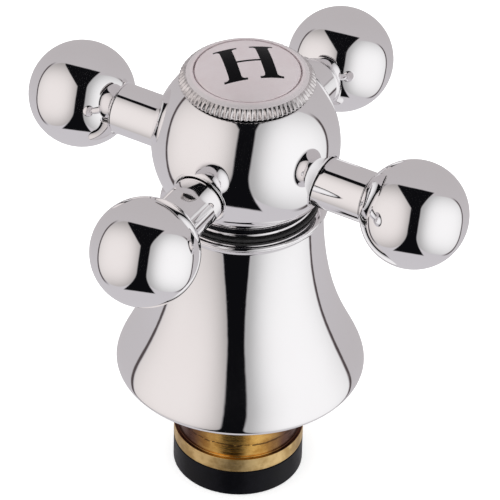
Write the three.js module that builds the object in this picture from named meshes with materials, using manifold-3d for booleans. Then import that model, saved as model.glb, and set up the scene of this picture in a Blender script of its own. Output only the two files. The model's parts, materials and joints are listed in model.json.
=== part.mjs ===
// Cross-handle tap head, hot side.
//
// A quarter-turn ceramic-disc headwork stands inside a bell-shaped shroud. A handle with four
// ball-ended arms turns its spindle, and a knurled cap marked H closes the handle's top.
// Millimetres, +Z up along the spindle, origin at the centre of the base seal's underside.
// The handle is shown closed: its arms lie on the diagonals and the letter reads along +Y.

import * as THREE from 'three';
import { mergeVertices } from 'three/addons/utils/BufferGeometryUtils.js';
import Module from 'manifold-3d';

const wasm = await Module();
wasm.setup();

// ---- Clearances ---------------------------------------------------------------------------

const SEAT = 0.1; // between two faces that rest on each other
const FIT = 0.15; // around a piece held in a bore or a pocket
const RUN = 0.3; // between a turning piece and a fixed one

// ---- Driving dimensions -------------------------------------------------------------------

const BASE_SEAL = { radius: 11.1, bore: 7, height: 5 };

const BODY = {
  flangeRadius: 11.1,
  flangeHeight: 2.7,
  neckRadius: 10.5,
  windowWidth: 7.6,
  windowHeight: 3.4,
  threadHeight: 5.4,
  threadDepth: 0.9,
  threadPitch: 1.8,
  hexProud: 0.5, // how far the hexagon's flats stand out from the neck
  hexHeight: 5.4,
  hexRelief: 0.6,
  columnRadius: 9.4,
  glandRadius: 8,
  glandRise: 7, // how far the gland stands above the shroud's seat ring
};

const SHROUD = {
  height: 34.16,
  rimHeight: 20.94, // the rim's underside above the base
  rimRadius: 21.05,
  rimRound: 1,
  rimLand: 0.9, // width of the flat face under the rim
  neckRadius: 13.23,
  wall: 1.6,
  beadRadius: 14,
  beadHeight: 1.5,
  lipRadius: 13,
  webHeight: 3.2,
  webDepth: 8.8, // from the top of the shroud down to its web
};

// The flare leaves the neck and meets the rim's round at these leans from the vertical, and
// each pull is how far the curve keeps to that direction.
const FLARE = { neckLean: 0.022, neckPull: 20.3, rimLean: 0.177, rimPull: 4.155 };

const NECK_RING = { section: 0.8, sunk: 0.4, land: 1.9 };
const DISC = { radius: 7.5, height: 2, portInner: 1.9, portOuter: 5.8, portAngle: 76 };
const DISC_KEY = { proud: 0.8, width: 3 };
const SEAT_SEAL = { bore: 4.6, height: 2.8 };

const SPINDLE = {
  radius: 4.2,
  flangeRadius: 6.4,
  flangeHeight: 1.8,
  dogWidth: 2.6,
  dogLength: 10,
  dogRise: 2.8, // from the disc's top to the flange
  dogDepth: 0.9, // how far the dog reaches into the disc
  clipDepth: 0.7,
  clipHeight: 1,
  clipProud: 1.2,
  splineRoot: 3.6,
  splineTip: 4.1,
  splineTeeth: 20,
  splineLength: 7.4,
};
const THRUST_WASHER_HEIGHT = 0.7;
const SPINDLE_RING = { section: 0.75, count: 2, pitch: 4.5 };
const STOP = {
  tabRadius: 8,
  tabAngle: 24,
  lugAngle: 20,
  lugWidth: 1.9,
  slackAngle: 2, // left at each end of the quarter turn
  height: 1.2,
};
const QUARTER_TURN = 90;

const SEAT_RING_HEIGHT = 0.8;
const NUT = { height: 3.2, clear: 0.6 };
const WEAR_WASHER = { inner: 11, outer: 12.4, height: 0.5 };

const HUB = {
  radius: 15.62,
  centreRise: 10.75, // from the collar's underside up to the middle of the sphere
  collarRadius: 12,
  collarHeight: 0.55,
  grooveRadius: 11,
  skirtHeight: 2.2, // where the sphere begins
  topRadius: 10.6,
  mouthRadius: 9.5,
  mouthHeight: 1.2,
  webHeight: 3,
  wellRadius: 7.2,
};
const DUST_RING_RADIUS = 11.9; // the soft ring in the hub's groove
const BUSH = { radius: 6, height: 7 };

const ARM = {
  count: 4,
  radius: 4.35,
  rise: 8.4, // its axis above the collar's underside
  start: 13.6, // the bottom of the recess that it stands in
  spigotRadius: 3,
  spigotLength: 4,
  ballSpigotRadius: 2.6,
  ballSpigotLength: 5,
};
const BOSS = { radius: 4.95, foot: 12, rise: 0.12, recessRadius: 4.6 };
const BALL = { radius: 9, reach: 31.7 };

const SCREW = { radius: 2.1, length: 12, headRadius: 4.4, headHeight: 3, drillSpare: 1 };
const SCREW_SLOT = { width: 1.1, depth: 1.3 };
const SCREW_WASHER_HEIGHT = 0.8;

const CAP = {
  radius: 11.25,
  height: 2.12, // up to the land round the inset disc
  landRadius: 9.1,
  shoulderRadius: 10,
  shoulderDrop: 0.55,
  edgeDrop: 1.45,
  seam: 0.6,
  teeth: 80,
  toothDepth: 0.25,
  spigotRadius: 9.4,
  spigotLength: 4.5,
  spigotBore: 7.4,
};
const CAP_RING = { radius: 10.25, section: 0.5 };
const INDEX = { radius: 8.65, height: 1.1, groove: 0.3, domeRise: 1.77 };
const LETTER = {
  width: 9.85,
  height: 9.2,
  stem: 2,
  serif: 3.85,
  serifHeight: 0.5,
  bar: 0.5,
  floorRise: 0.25, // the pocket's floor above the disc's edge
  shiftX: 0.2,
  shiftY: 0.4,
  turn: -2, // degrees
  gap: 0.1,
};

const SIDES = { large: 32, middle: 32, small: 16 };

// ---- Heights, from the base up --------------------------------------------------------------

const sealTop = BASE_SEAL.height;
const bodyBottom = sealTop + SEAT;
const flangeTop = bodyBottom + BODY.flangeHeight;
const seatSealTop = bodyBottom + SEAT + SEAT_SEAL.height;
const fixedDiscBottom = seatSealTop + SEAT;
const turningDiscBottom = fixedDiscBottom + DISC.height + SEAT;
const turningDiscTop = turningDiscBottom + DISC.height;
const chamberStep = turningDiscTop + SEAT;
const spindleFlangeBottom = turningDiscTop + SPINDLE.dogRise;
const spindleFlangeTop = spindleFlangeBottom + SPINDLE.flangeHeight;
const thrustWasherTop = spindleFlangeTop + SEAT + THRUST_WASHER_HEIGHT;
const shaftBoreBottom = thrustWasherTop + SEAT;
const windowBottom = chamberStep + RUN;
const windowTop = windowBottom + BODY.windowHeight;
const neckRingHeight = windowTop + NECK_RING.land;
const threadBottom = neckRingHeight + NECK_RING.land;
const threadTop = threadBottom + BODY.threadHeight;
const hexBottom = threadTop + BODY.hexRelief;
const hexTop = hexBottom + BODY.hexHeight;

const shroudTop = SHROUD.rimHeight + SHROUD.height;
const webTop = shroudTop - SHROUD.webDepth;
const webBottom = webTop - SHROUD.webHeight;
const columnTop = webBottom - SEAT_RING_HEIGHT - 2 * SEAT;
const glandTop = columnTop + BODY.glandRise + SEAT_RING_HEIGHT;
const nutBottom = webTop + SEAT;
const stopBottom = glandTop + RUN;
const stopTop = stopBottom + STOP.height;
const clipBottom = stopTop + SEAT;
const clipTop = clipBottom + SPINDLE.clipHeight - 2 * SEAT;

const wearWasherBottom = shroudTop + SEAT;
const hubBottom = wearWasherBottom + WEAR_WASHER.height + RUN;
const hubCentre = hubBottom + HUB.centreRise;
const armHeight = hubBottom + ARM.rise;
const hubTop = hubCentre + Math.sqrt(HUB.radius ** 2 - HUB.topRadius ** 2);
const bushBottom = hubBottom + HUB.mouthHeight;
const bushTop = bushBottom + BUSH.height;
const hubWebBottom = bushTop + SEAT;
const hubWebTop = hubWebBottom + HUB.webHeight;
const spindleTop = bushTop - SEAT;
const splineBottom = spindleTop - SPINDLE.splineLength;
const screwWasherTop = hubWebTop + SEAT + SCREW_WASHER_HEIGHT;
const screwHeadBottom = screwWasherTop + SEAT;
const screwHeadTop = screwHeadBottom + SCREW.headHeight;
const capBottom = hubTop + CAP.seam;
const capTop = capBottom + CAP.height;
const capSpigotBottom = capBottom - CAP.spigotLength;
const indexBottom = capTop - INDEX.height;
const domeTop = capTop + INDEX.domeRise;

const neckRingRadius = BODY.neckRadius - NECK_RING.sunk;
const stopBore = BODY.glandRadius - STOP.lugWidth;
const glandBore = SPINDLE.radius + RUN;
const ringGroove = glandBore - 2 * SPINDLE_RING.section - FIT;
const shroudBore = SHROUD.neckRadius - SHROUD.wall;
const radians = THREE.MathUtils.degToRad;

// ---- Materials ------------------------------------------------------------------------------

function metal(color, roughness) {
  return new THREE.MeshStandardMaterial({ color, roughness, metalness: 1 });
}

function plain(color, roughness) {
  return new THREE.MeshStandardMaterial({ color, roughness, metalness: 0 });
}

const chrome = metal(0xd9d7d8, 0.06);
const satinChrome = metal(0xcfc5c6, 0.35);
const polishedBrass = metal(0xc08a3a, 0.12);
const turnedBrass = metal(0xb8924f, 0.3);
const steel = metal(0x9fa3a6, 0.3);
const blackRubber = plain(0x101216, 0.6);
const blackEnamel = plain(0x0b0b0c, 0.3);
const whiteCeramic = plain(0xf1efe9, 0.2);
const nylon = plain(0x1a1a1c, 0.45);

// ---- Shape helpers --------------------------------------------------------------------------

// A solid of revolution about Z. The profile is [radius, height] pairs with the solid on the
// left, and it either begins and ends on the axis or is closed here.
function turned(profile, sides = SIDES.small) {
  const points = profile.map(([radius, height]) => new THREE.Vector2(radius, height));
  if (points[0].x > 0) {
    points.push(points[0].clone());
  }
  return new THREE.LatheGeometry(points, sides).rotateX(Math.PI / 2);
}

function rod(radius, bottom, top, sides) {
  return turned([[0, bottom], [radius, bottom], [radius, top], [0, top]], sides);
}

function ring(inner, outer, bottom, top, sides) {
  return turned([[inner, bottom], [outer, bottom], [outer, top], [inner, top]], sides);
}

function oRing(radius, section, height, sides) {
  const steps = 6;
  const profile = Array.from({ length: steps }, (_, step) => {
    const angle = (2 * Math.PI * step) / steps;
    return [radius + section * Math.cos(angle), height + section * Math.sin(angle)];
  });
  return turned(profile, sides);
}

function extruded(shape, bottom, top) {
  const options = { depth: top - bottom, bevelEnabled: false, curveSegments: 10 };
  return new THREE.ExtrudeGeometry(shape, options).translate(0, 0, bottom);
}

function block(width, depth, bottom, top) {
  const geometry = new THREE.BoxGeometry(width, depth, top - bottom);
  return geometry.translate(0, 0, (top + bottom) / 2);
}

function circlePath(radius) {
  return new THREE.Path().absarc(0, 0, radius, 0, 2 * Math.PI, true);
}

// A piece of a ring seen from above, from one angle to another in degrees.
function sector(inner, outer, from, to) {
  const shape = new THREE.Shape();
  shape.absarc(0, 0, outer, radians(from), radians(to), false);
  shape.absarc(0, 0, inner, radians(to), radians(from), true);
  shape.closePath();
  return shape;
}

function hexagon(acrossFlats) {
  const corner = acrossFlats / 2 / Math.cos(Math.PI / 6);
  const points = Array.from({ length: 6 }, (_, side) => {
    const angle = (Math.PI / 3) * side;
    return new THREE.Vector2(corner * Math.cos(angle), corner * Math.sin(angle));
  });
  return new THREE.Shape(points);
}

// The outline of fine straight teeth, one tip and one root in each pitch.
function toothed(root, tip, teeth) {
  return Array.from({ length: 2 * teeth }, (_, step) => {
    const radius = step % 2 ? root : tip;
    const angle = (Math.PI * step) / teeth;
    return new THREE.Vector2(radius * Math.cos(angle), radius * Math.sin(angle));
  });
}

// Saw-toothed [radius, height] points that stand for a screw thread.
function thread(radius, depth, bottom, top, pitch) {
  const points = [];
  for (let height = bottom; height + pitch <= top + SEAT; height += pitch) {
    points.push([radius - depth, height]);
    points.push([radius, height + pitch / 2]);
  }
  points.push([radius - depth, top]);
  return points;
}

// ---- Joining and cutting ----------------------------------------------------------------------

function solid(geometry) {
  const bare = geometry.index ? geometry.toNonIndexed() : geometry.clone();
  bare.deleteAttribute('normal');
  bare.deleteAttribute('uv');
  const merged = mergeVertices(bare, 1e-3);
  const corners = Array.from(merged.index.array);
  const triVerts = [];
  for (let i = 0; i < corners.length; i += 3) {
    const [a, b, c] = corners.slice(i, i + 3);
    if (a !== b && b !== c && c !== a) {
      triVerts.push(a, b, c);
    }
  }
  return new wasm.Manifold(
    new wasm.Mesh({
      numProp: 3,
      vertProperties: merged.attributes.position.array,
      triVerts: new Uint32Array(triVerts),
    }),
  );
}

function geometryOf(manifold) {
  const mesh = manifold.getMesh();
  const geometry = new THREE.BufferGeometry();
  geometry.setAttribute('position', new THREE.BufferAttribute(mesh.vertProperties, 3));
  geometry.setIndex(new THREE.BufferAttribute(mesh.triVerts, 1));
  geometry.computeVertexNormals();
  return geometry;
}

function joined(base, ...pieces) {
  return geometryOf(pieces.reduce((sum, piece) => sum.add(solid(piece)), solid(base)));
}

function cut(base, ...pieces) {
  return geometryOf(pieces.reduce((rest, piece) => rest.subtract(solid(piece)), solid(base)));
}

// ---- The scene graph ----------------------------------------------------------------------------

const tapHead = new THREE.Group();
const headwork = new THREE.Group();
const turning = new THREE.Group();
tapHead.add(headwork, turning);

function place(group, name, geometry, material) {
  const mesh = new THREE.Mesh(geometry, material);
  mesh.name = name;
  group.add(mesh);
  return mesh;
}

// ---- Headwork: seals, brass body and discs --------------------------------------------------------

function baseSeal() {
  return ring(BASE_SEAL.bore, BASE_SEAL.radius, 0, sealTop, SIDES.middle);
}

function valveBody() {
  const chamber = DISC.radius + FIT;
  const throat = SPINDLE.flangeRadius + RUN;
  const ringSeat = neckRingRadius - NECK_RING.section - FIT;
  const ringHalf = NECK_RING.section + FIT;
  const turnedBody = turned([
    [chamber, bodyBottom],
    [BODY.flangeRadius, bodyBottom],
    [BODY.flangeRadius, flangeTop],
    [BODY.neckRadius, flangeTop],
    [BODY.neckRadius, neckRingHeight - ringHalf],
    [ringSeat, neckRingHeight - ringHalf],
    [ringSeat, neckRingHeight + ringHalf],
    [BODY.neckRadius, neckRingHeight + ringHalf],
    ...thread(BODY.neckRadius, BODY.threadDepth, threadBottom, threadTop, BODY.threadPitch),
    [BODY.neckRadius, hexBottom],
    [BODY.neckRadius, hexTop],
    [BODY.columnRadius, hexTop],
    [BODY.columnRadius, columnTop],
    [BODY.glandRadius, columnTop],
    [BODY.glandRadius, glandTop],
    [glandBore, glandTop],
    [glandBore, shaftBoreBottom],
    [throat, shaftBoreBottom],
    [throat, chamberStep],
    [chamber, chamberStep],
  ], SIDES.middle);
  const hex = hexagon(2 * (BODY.neckRadius + BODY.hexProud));
  hex.holes.push(circlePath(BODY.columnRadius - FIT));
  const sunk = 0.5;
  const lugs = [-1, 1].map((side) => {
    const travel = side > 0 ? QUARTER_TURN : 0;
    const near = travel + side * (STOP.tabAngle / 2 + STOP.slackAngle);
    const far = near + side * STOP.lugAngle;
    const shape = sector(stopBore, BODY.glandRadius, Math.min(near, far), Math.max(near, far));
    return extruded(shape, glandTop - sunk, stopTop);
  });
  const whole = joined(turnedBody, extruded(hex, hexBottom, hexTop), ...lugs);
  const reach = 2 * (BODY.flangeRadius + 1);
  const keyLength = 2 * (DISC.radius + DISC_KEY.proud + FIT);
  const keyTop = fixedDiscBottom + DISC.height + SEAT / 2;
  return cut(
    whole,
    block(reach, BODY.windowWidth, windowBottom, windowTop),
    block(DISC_KEY.width + 2 * FIT, keyLength, bodyBottom - 1, keyTop),
  );
}

function portShapes(middle) {
  const half = DISC.portAngle / 2;
  return [middle, middle + 180].map((angle) =>
    sector(DISC.portInner, DISC.portOuter, angle - half, angle + half),
  );
}

function fixedDisc() {
  const bottom = fixedDiscBottom;
  const top = bottom + DISC.height;
  const keyed = joined(
    rod(DISC.radius, bottom, top, SIDES.middle),
    block(DISC_KEY.width, 2 * (DISC.radius + DISC_KEY.proud), bottom, top),
  );
  const ports = portShapes(0).map((shape) => extruded(shape, bottom - 1, top + 1));
  return cut(keyed, ...ports);
}

// Its ports stand a quarter turn from the fixed disc's, so at rest the water is shut off.
function turningDisc() {
  const bottom = turningDiscBottom;
  const top = turningDiscTop;
  const slotLength = SPINDLE.dogLength + 2 * RUN;
  const slotWidth = SPINDLE.dogWidth + 2 * FIT;
  return cut(
    rod(DISC.radius, bottom, top, SIDES.middle),
    ...portShapes(QUARTER_TURN).map((shape) => extruded(shape, bottom - 1, top + 1)),
    block(slotLength, slotWidth, top - SPINDLE.dogDepth - FIT, top + 1),
  );
}

place(headwork, 'base_seal', baseSeal(), blackRubber);
place(headwork, 'valve_body', valveBody(), polishedBrass);
place(
  headwork,
  'neck_o_ring',
  oRing(neckRingRadius, NECK_RING.section, neckRingHeight, SIDES.middle),
  blackRubber,
);
place(
  headwork,
  'seat_seal',
  ring(SEAT_SEAL.bore, DISC.radius, bodyBottom + SEAT, seatSealTop),
  blackRubber,
);
place(headwork, 'fixed_disc', fixedDisc(), whiteCeramic);
place(
  headwork,
  'thrust_washer',
  ring(glandBore, SPINDLE.flangeRadius, spindleFlangeTop + SEAT, thrustWasherTop),
  nylon,
);

// ---- Shroud and what holds it -------------------------------------------------------------------

// The flared outline from under the neck's bead down to the flat under the rim.
function flareOutline() {
  const top = new THREE.Vector2(SHROUD.neckRadius, shroudTop - SHROUD.beadHeight);
  const round = new THREE.Vector2(
    SHROUD.rimRadius - SHROUD.rimRound,
    SHROUD.rimHeight + SHROUD.rimRound,
  );
  const along = (lean) => new THREE.Vector2(Math.sin(lean), -Math.cos(lean));
  const across = new THREE.Vector2(Math.cos(FLARE.rimLean), Math.sin(FLARE.rimLean));
  const bottom = round.clone().addScaledVector(across, SHROUD.rimRound);
  const curve = new THREE.CubicBezierCurve(
    top,
    top.clone().addScaledVector(along(FLARE.neckLean), FLARE.neckPull),
    bottom.clone().addScaledVector(along(FLARE.rimLean), -FLARE.rimPull),
    bottom,
  );
  return { curve, round };
}

function shroud() {
  const steps = 9;
  const { curve, round } = flareOutline();
  const flare = curve.getSpacedPoints(steps).reverse();
  const rim = [-90, -45].map((angle) => [
    round.x + SHROUD.rimRound * Math.cos(radians(angle)),
    round.y + SHROUD.rimRound * Math.sin(radians(angle)),
  ]);
  const inside = flare.filter(({ y }) => y < webBottom - SHROUD.wall);
  const beadTop = shroudTop - SHROUD.beadHeight / 3;
  return turned([
    [round.x - SHROUD.rimLand, SHROUD.rimHeight],
    ...rim,
    ...flare.map(({ x, y }) => [x, y]),
    [SHROUD.beadRadius, shroudTop - SHROUD.beadHeight],
    [SHROUD.beadRadius - SHROUD.beadHeight / 4, beadTop],
    [SHROUD.lipRadius, shroudTop],
    [shroudBore, shroudTop],
    [shroudBore, webTop],
    [BODY.glandRadius + FIT, webTop],
    [BODY.glandRadius + FIT, webBottom],
    [shroudBore, webBottom],
    ...inside.reverse().map(({ x, y }) => [x - SHROUD.wall, y]),
  ], SIDES.large);
}

function shroudNut() {
  const corner = shroudBore - NUT.clear;
  const shape = hexagon(2 * corner * Math.cos(Math.PI / 6));
  shape.holes.push(circlePath(BODY.glandRadius + FIT));
  return extruded(shape, nutBottom, nutBottom + NUT.height);
}

place(headwork, 'shroud', shroud(), chrome);
place(headwork, 'shroud_nut', shroudNut(), turnedBrass);
place(
  headwork,
  'shroud_seat_ring',
  ring(
    BODY.glandRadius + FIT,
    BODY.columnRadius,
    columnTop + SEAT,
    columnTop + SEAT + SEAT_RING_HEIGHT,
  ),
  blackRubber,
);
place(
  headwork,
  'wear_washer',
  ring(WEAR_WASHER.inner, WEAR_WASHER.outer, wearWasherBottom, wearWasherBottom + WEAR_WASHER.height),
  nylon,
);

// ---- Spindle and what rides on it -----------------------------------------------------------------

function spindleRingHeight(index) {
  return columnTop - SPINDLE_RING.pitch * (index + 1);
}

function spindle() {
  const half = SPINDLE_RING.section + FIT;
  const grooves = [];
  for (let index = SPINDLE_RING.count - 1; index >= 0; index -= 1) {
    const middle = spindleRingHeight(index);
    grooves.push([SPINDLE.radius, middle - half], [ringGroove, middle - half]);
    grooves.push([ringGroove, middle + half], [SPINDLE.radius, middle + half]);
  }
  const clipFoot = clipBottom - SEAT;
  const clipHead = clipFoot + SPINDLE.clipHeight;
  const shaft = turned([
    [0, spindleFlangeBottom],
    [SPINDLE.flangeRadius, spindleFlangeBottom],
    [SPINDLE.flangeRadius, spindleFlangeTop],
    [SPINDLE.radius, spindleFlangeTop],
    ...grooves,
    [SPINDLE.radius, clipFoot],
    [SPINDLE.radius - SPINDLE.clipDepth, clipFoot],
    [SPINDLE.radius - SPINDLE.clipDepth, clipHead],
    [SPINDLE.radius, clipHead],
    [SPINDLE.radius, splineBottom],
    [0, splineBottom],
  ]);
  const dogBottom = turningDiscTop - SPINDLE.dogDepth;
  const spline = new THREE.Shape(
    toothed(SPINDLE.splineRoot, SPINDLE.splineTip, SPINDLE.splineTeeth),
  );
  const whole = joined(
    shaft,
    block(SPINDLE.dogLength, SPINDLE.dogWidth, dogBottom, spindleFlangeBottom + SEAT),
    extruded(spline, splineBottom - SEAT, spindleTop),
  );
  const drillBottom = screwHeadBottom - SCREW.length - SCREW.drillSpare;
  return cut(whole, rod(SCREW.radius + FIT, drillBottom, spindleTop + 1));
}

function splineBush() {
  const shape = new THREE.Shape().absarc(0, 0, BUSH.radius, 0, 2 * Math.PI, false);
  const bore = toothed(
    SPINDLE.splineRoot + FIT,
    SPINDLE.splineTip + FIT,
    SPINDLE.splineTeeth,
  );
  shape.holes.push(new THREE.Path(bore.reverse()));
  return extruded(shape, bushBottom, bushTop);
}

// Its tab travels between the two lugs on top of the gland.
function stopWasher() {
  const half = STOP.tabAngle / 2;
  const tab = sector(SPINDLE.radius + FIT, STOP.tabRadius, -half, half);
  return joined(
    ring(SPINDLE.radius + FIT, stopBore - RUN, stopBottom, stopTop),
    extruded(tab, stopBottom, stopTop),
  );
}

function circlip() {
  const gap = 30;
  const inner = SPINDLE.radius - SPINDLE.clipDepth + FIT;
  const shape = sector(inner, SPINDLE.radius + SPINDLE.clipProud, gap, 360 - gap);
  return extruded(shape, clipBottom, clipTop);
}

place(turning, 'turning_disc', turningDisc(), whiteCeramic);
place(turning, 'spindle', spindle(), turnedBrass);
for (let index = 0; index < SPINDLE_RING.count; index += 1) {
  place(
    turning,
    `spindle_o_ring_${index + 1}`,
    oRing(glandBore - SPINDLE_RING.section - FIT / 2, SPINDLE_RING.section, spindleRingHeight(index)),
    blackRubber,
  );
}
place(turning, 'stop_washer', stopWasher(), steel);
place(turning, 'circlip', circlip(), steel);
place(turning, 'spline_bush', splineBush(), nylon);

// ---- Handle ---------------------------------------------------------------------------------------

// Stands a piece made along Z on the arm's axis, pointing away from the spindle.
function alongArm(geometry, angle) {
  return geometry.rotateY(Math.PI / 2).rotateZ(angle).translate(0, 0, armHeight);
}

function armAngles() {
  return Array.from({ length: ARM.count }, (_, index) => {
    const step = (2 * Math.PI) / ARM.count;
    return step * (index + 0.5);
  });
}

function handleHub() {
  const steps = 9;
  const skirt = hubBottom + HUB.skirtHeight;
  const low = Math.asin((skirt - hubCentre) / HUB.radius);
  const high = Math.acos(HUB.topRadius / HUB.radius);
  const sphere = Array.from({ length: steps + 1 }, (_, step) => {
    const angle = low + ((high - low) * step) / steps;
    return [HUB.radius * Math.cos(angle), hubCentre + HUB.radius * Math.sin(angle)];
  });
  const collarTop = hubBottom + HUB.collarHeight;
  const capWell = CAP.spigotRadius + FIT;
  const shell = turned([
    [HUB.mouthRadius, hubBottom],
    [HUB.collarRadius, hubBottom],
    [HUB.collarRadius, collarTop],
    [HUB.grooveRadius, collarTop],
    [HUB.grooveRadius, skirt],
    ...sphere,
    [capWell, hubTop],
    [capWell, capSpigotBottom - RUN],
    [HUB.wellRadius, capSpigotBottom - RUN],
    [HUB.wellRadius, hubWebTop],
    [SCREW.radius + RUN, hubWebTop],
    [SCREW.radius + RUN, hubWebBottom],
    [BUSH.radius + FIT, hubWebBottom],
    [BUSH.radius + FIT, bushBottom],
    [HUB.mouthRadius, bushBottom],
  ], SIDES.large);
  const dip = Math.asin((hubCentre - armHeight) / HUB.radius);
  const bossTop = Math.sqrt(HUB.radius ** 2 - BOSS.radius ** 2) + BOSS.rise;
  const bosses = armAngles().map((angle) =>
    rod(BOSS.radius, BOSS.foot, bossTop)
      .rotateY(Math.PI / 2 + dip)
      .rotateZ(angle)
      .translate(0, 0, hubCentre),
  );
  const socketBottom = ARM.start - ARM.spigotLength - RUN;
  const sockets = armAngles().map((angle) => {
    const socket = turned([
      [0, socketBottom],
      [ARM.spigotRadius + FIT, socketBottom],
      [ARM.spigotRadius + FIT, ARM.start],
      [BOSS.recessRadius, ARM.start],
      [BOSS.recessRadius, HUB.radius + RUN],
      [0, HUB.radius + RUN],
    ], SIDES.small);
    return alongArm(socket, angle);
  });
  return cut(joined(shell, ...bosses), ...sockets);
}

// Where the ball's skin is as wide as the arm, which is where the arm butts against it.
function ballFoot() {
  return BALL.reach - Math.sqrt(BALL.radius ** 2 - ARM.radius ** 2);
}

function handleArm() {
  const start = ARM.start + RUN;
  const end = ballFoot() - SEAT;
  return turned([
    [0, ARM.start - ARM.spigotLength],
    [ARM.spigotRadius, ARM.start - ARM.spigotLength],
    [ARM.spigotRadius, start],
    [ARM.radius, start],
    [ARM.radius, end],
    [ARM.ballSpigotRadius, end],
    [ARM.ballSpigotRadius, end + ARM.ballSpigotLength],
    [0, end + ARM.ballSpigotLength],
  ], SIDES.small);
}

function armBall() {
  const steps = 10;
  const bore = ARM.ballSpigotRadius + FIT;
  const foot = Math.asin(ARM.radius / BALL.radius);
  const skin = Array.from({ length: steps + 1 }, (_, step) => {
    const angle = foot + ((Math.PI - foot) * step) / steps;
    const radius = step < steps ? BALL.radius * Math.sin(angle) : 0;
    return [radius, BALL.reach - BALL.radius * Math.cos(angle)];
  });
  const boreEnd = ballFoot() + ARM.ballSpigotLength + RUN;
  return turned([[0, boreEnd], [bore, boreEnd], [bore, ballFoot()], ...skin], SIDES.small);
}

place(turning, 'handle_hub', handleHub(), chrome);
place(
  turning,
  'dust_ring',
  ring(
    HUB.grooveRadius + FIT,
    DUST_RING_RADIUS,
    hubBottom + HUB.collarHeight + SEAT,
    hubBottom + HUB.skirtHeight - SEAT,
    SIDES.middle,
  ),
  blackRubber,
);
armAngles().forEach((angle, index) => {
  place(turning, `handle_arm_${index + 1}`, alongArm(handleArm(), angle), chrome);
  place(turning, `ball_end_${index + 1}`, alongArm(armBall(), angle), chrome);
});

// ---- Handle screw and index cap ---------------------------------------------------------------------

function handleScrew() {
  const whole = turned([
    [0, screwHeadBottom - SCREW.length],
    [SCREW.radius, screwHeadBottom - SCREW.length],
    [SCREW.radius, screwHeadBottom],
    [SCREW.headRadius, screwHeadBottom],
    [SCREW.headRadius, screwHeadTop - SCREW.radius / 2],
    [SCREW.radius, screwHeadTop],
    [0, screwHeadTop],
  ]);
  const slotBottom = screwHeadTop - SCREW_SLOT.depth;
  const slotLength = 2 * SCREW.headRadius + 1;
  return cut(whole, block(slotLength, SCREW_SLOT.width, slotBottom, screwHeadTop + 1));
}

// A knurled cap whose shoulder slopes from the land round the inset disc down to its edge.
function indexCap() {
  const knurl = new THREE.Shape(toothed(CAP.radius - CAP.toothDepth, CAP.radius, CAP.teeth));
  const spigot = ring(CAP.spigotBore, CAP.spigotRadius, capSpigotBottom, capBottom + SEAT, SIDES.middle);
  const ringWell = CAP_RING.section + FIT;
  const aboveShoulder = turned([
    [CAP.landRadius, capTop],
    [CAP.shoulderRadius, capTop - CAP.shoulderDrop],
    [CAP.radius, capTop - CAP.edgeDrop],
    [CAP.radius + 1, capTop - CAP.edgeDrop],
    [CAP.radius + 1, capTop + 1],
    [CAP.landRadius, capTop + 1],
  ], SIDES.large);
  return cut(
    joined(extruded(knurl, capBottom, capTop), spigot),
    rod(INDEX.radius + INDEX.groove, indexBottom - SEAT, capTop + 1, SIDES.large),
    aboveShoulder,
    ring(
      CAP.spigotRadius - SEAT,
      CAP_RING.radius + ringWell,
      capBottom - SEAT,
      capBottom + CAP_RING.section,
      SIDES.middle,
    ),
  );
}

// [radius, height] points of the shallow dome, from the disc's edge up to its middle.
function domeProfile() {
  const steps = 5;
  const dome = (INDEX.radius ** 2 + INDEX.domeRise ** 2) / (2 * INDEX.domeRise);
  return Array.from({ length: steps + 1 }, (_, step) => {
    const radius = INDEX.radius * (1 - step / steps);
    return [radius, domeTop - dome + Math.sqrt(dome ** 2 - radius ** 2)];
  });
}

// A capital H with a slab at each end of both stems and one thin bar between them.
function letterPrism(grow) {
  const { width, height, stem, serif, serifHeight, bar, floorRise, shiftX, shiftY, turn } = LETTER;
  const floor = capTop + floorRise - grow;
  const ceiling = domeTop + 1;
  const stemX = (width - serif) / 2;
  const slabY = (height - serifHeight) / 2;
  const pieces = [block(2 * stemX, bar + 2 * grow, floor, ceiling)];
  for (const side of [-1, 1]) {
    const upright = block(stem + 2 * grow, height - serifHeight, floor, ceiling);
    pieces.push(upright.translate(side * stemX, 0, 0));
    for (const end of [-1, 1]) {
      const slab = block(serif + 2 * grow, serifHeight + 2 * grow, floor, ceiling);
      pieces.push(slab.translate(side * stemX, end * slabY, 0));
    }
  }
  return joined(...pieces).rotateZ(radians(turn)).translate(shiftX, shiftY, 0);
}

function indexDisc() {
  const disc = turned([[0, indexBottom], [INDEX.radius, indexBottom], ...domeProfile()], SIDES.large);
  return cut(disc, letterPrism(LETTER.gap));
}

// The letter is the inlay that is left when everything above the dome is cut away.
function hotLetter() {
  const ceiling = domeTop + 2;
  const aboveDome = [...domeProfile().reverse(), [INDEX.radius, ceiling], [0, ceiling]];
  return cut(letterPrism(0), turned(aboveDome, SIDES.large));
}

place(turning, 'handle_screw', handleScrew(), steel);
place(
  turning,
  'screw_washer',
  ring(SCREW.radius + RUN, SCREW.headRadius, hubWebTop + SEAT, screwWasherTop),
  steel,
);
place(turning, 'index_cap', indexCap(), satinChrome);
place(
  turning,
  'cap_o_ring',
  oRing(CAP_RING.radius, CAP_RING.section, capBottom - SEAT / 2, SIDES.middle),
  blackRubber,
);
place(turning, 'index_disc', indexDisc(), satinChrome);
place(turning, 'hot_letter', hotLetter(), blackEnamel);

export default tapHead;
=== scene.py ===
"""Cross-handle tap head, hot side: fine surfaces, finishes and a small studio."""
import json
import math

import bmesh
import bpy
from mathutils import Matrix, Vector
from mathutils.geometry import interpolate_bezier

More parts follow.
